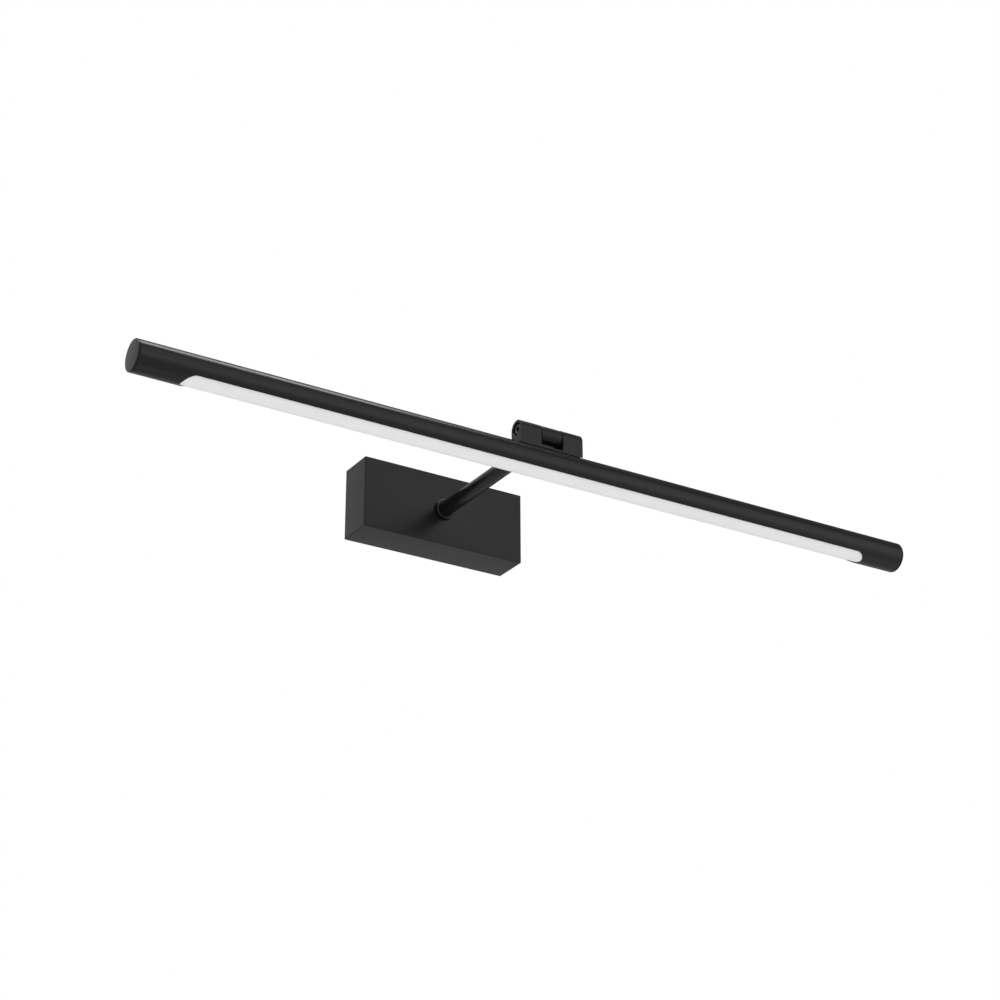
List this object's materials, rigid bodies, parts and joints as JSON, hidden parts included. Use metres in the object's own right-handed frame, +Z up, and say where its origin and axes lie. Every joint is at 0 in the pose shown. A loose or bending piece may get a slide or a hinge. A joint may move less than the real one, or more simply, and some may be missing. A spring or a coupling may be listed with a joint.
{
  "type": "picture light",
  "caption": "Wall-hung LED picture light: a long slotted lamp tube on a tilting two-eared hinge, a round arm and a rectangular wall base.",
  "frame": {"origin": "centre of the wall base's back face, on the wall", "axes": "+X right along the lamp tube, +Y into the wall, +Z up"},
  "size_m": [0.555, 0.164, 0.0565],
  "materials": {
    "matt_black": "matt black fine-textured powder coat",
    "tube_black": "aluminium with a matt black powder coat",
    "opal": "opal white satin acrylic",
    "zinc": "zinc-plated steel",
    "black_screw": "black-oxide steel",
    "aluminium": "plain extruded aluminium",
    "brass": "plain turned brass",
    "nylon": "natural nylon",
    "board_white": "white solder mask",
    "board_green": "green solder mask",
    "case_white": "white moulded plastic",
    "dark_plastic": "dark moulded plastic",
    "lead_sleeve": "dark grey cable sleeve",
    "earth_sleeve": "green and yellow cable sleeve",
    "grommet_rubber": "black moulded rubber"
  },
  "bodies": {
    "base": {"wall_bracket": "zinc", "base_cover": "matt_black", "cover_screw_left": "black_screw", "cover_screw_right": "black_screw", "earth_screw": "brass", "cable_grommet": "grommet_rubber", "driver_case": "case_white", "driver_lid": "case_white", "driver_board": "board_green", "driver_transformer": "dark_plastic", "driver_capacitor": "dark_plastic", "terminal_block": "nylon", "terminal_screw_1": "brass", "terminal_screw_2": "brass", "terminal_screw_3": "brass", "arm_tube": "matt_black", "arm_collar": "matt_black", "arm_washer": "zinc", "arm_nut": "zinc", "hinge_knuckle": "matt_black", "pivot_screw": "black_screw", "arm_lead": "lead_sleeve", "driver_input_lead": "lead_sleeve", "earth_lead": "earth_sleeve"},
    "head": {"hinge_fork": "matt_black", "pivot_bush": "brass", "pivot_cap": "matt_black", "friction_washer_left": "dark_plastic", "friction_washer_right": "dark_plastic", "hinge_screw_left": "zinc", "hinge_screw_right": "zinc", "lamp_tube": "tube_black", "end_cap_left": "tube_black", "end_cap_right": "tube_black", "diffuser": "opal", "led_carrier": "aluminium", "led_board": "board_white", "head_lead": "lead_sleeve"}
  },
  "joints": [
    {"name": "head_tilt", "type": "hinge", "parent": "base", "child": "head", "pos_m": [0, -0.154, 0], "axis": [1, 0, 0], "range_deg": [-90, 28]}
  ]
}
